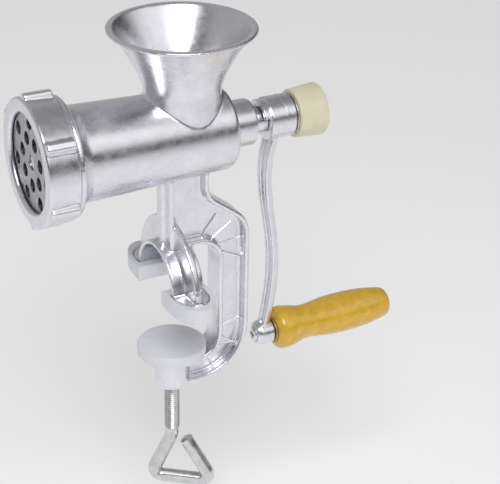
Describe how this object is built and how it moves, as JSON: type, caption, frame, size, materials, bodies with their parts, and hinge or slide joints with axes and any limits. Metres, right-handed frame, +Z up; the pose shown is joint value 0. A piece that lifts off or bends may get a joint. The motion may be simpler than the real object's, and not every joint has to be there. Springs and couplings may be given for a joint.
{
  "type": "hand crank meat grinder",
  "caption": "Hand crank meat grinder: hopper, mincing barrel with ring nut and perforated plate, crank with a turning grip, and a screw clamp that holds it on a table edge.",
  "frame": {"origin": "on the clamp screw's axis, in the plane of the two jaw shoes' undersides, where the table top lies", "axes": "+Z up along the clamp screw, +X along the barrel towards the crank, Y across the plane of symmetry"},
  "size_m": [0.2443, 0.0976, 0.3123],
  "materials": {
    "cast_aluminium": "satin, fine cast grain",
    "ground_steel": "ground",
    "zinc_steel": "zinc plated",
    "white_plastic": "satin",
    "ivory_plastic": "semi-gloss, slightly translucent",
    "yellow_wood": "glossy yellow lacquer",
    "dull_brass": "dull",
    "nylon": "matte"
  },
  "bodies": {
    "housing": {"body_casting": "cast_aluminium", "plate_key_pin": "zinc_steel", "shaft_bush": "nylon", "jaw_shoe_near": "white_plastic", "jaw_shoe_far": "white_plastic"},
    "plate": {"mincer_plate": "ground_steel"},
    "ring": {"ring_nut": "cast_aluminium"},
    "crankshaft": {"feed_screw": "cast_aluminium", "knife_stud": "zinc_steel", "cross_knife": "ground_steel", "thrust_washer": "nylon", "crank_arm": "cast_aluminium", "grip_axle": "zinc_steel", "grip_washer": "dull_brass", "grip_end_washer": "zinc_steel", "grip_end_nut": "zinc_steel"},
    "grip": {"grip_handle": "yellow_wood"},
    "thumb_carrier": {"thumb_washer": "zinc_steel"},
    "thumb_screw": {"thumb_knob": "ivory_plastic", "thumb_stud": "zinc_steel"},
    "clamp_pad": {"pad_disc": "zinc_steel", "pad_cover": "white_plastic"},
    "clamp": {"clamp_screw": "zinc_steel", "pad_retainer": "zinc_steel"}
  },
  "joints": [
    {"name": "crank_spin", "type": "hinge", "parent": "housing", "child": "crankshaft", "pos_m": [0, 0, 0.1012], "axis": [1, 0, 0], "continuous": true},
    {"name": "grip_spin", "type": "hinge", "parent": "crankshaft", "child": "grip", "pos_m": [0.0713, 0, -0.0478], "axis": [1, 0, 0], "continuous": true},
    {"name": "plate_slide", "type": "slide", "parent": "housing", "child": "plate", "axis": [-1, 0, 0], "range_m": [0, 0.01201]},
    {"name": "ring_turn", "type": "hinge", "parent": "plate", "child": "ring", "pos_m": [-0.0787, 0, 0.1012], "axis": [-1, 0, 0], "range_deg": [0, 1440]},
    {"name": "thumb_slide", "type": "slide", "parent": "crankshaft", "child": "thumb_carrier", "axis": [1, 0, 0], "range_m": [0, 0.01001]},
    {"name": "thumb_turn", "type": "hinge", "parent": "thumb_carrier", "child": "thumb_screw", "pos_m": [0.0785, 0, 0.1012], "axis": [1, 0, 0], "range_deg": [0, 2880]},
    {"name": "pad_slide", "type": "slide", "parent": "housing", "child": "clamp_pad", "axis": [0, 0, 1], "range_m": [-0.00201, 0.03301]},
    {"name": "clamp_turn", "type": "hinge", "parent": "clamp_pad", "child": "clamp", "pos_m": [0, 0, -0.1], "axis": [0, 0, 1], "range_deg": [-480, 7920]}
  ],
  "couplings": [
    {"joint": "plate_slide", "follows": "ring_turn", "m_per_rad": 0.00047746},
    {"joint": "thumb_slide", "follows": "thumb_turn", "m_per_rad": 0.00019894},
    {"joint": "pad_slide", "follows": "clamp_turn", "m_per_rad": 0.00023873}
  ]
}
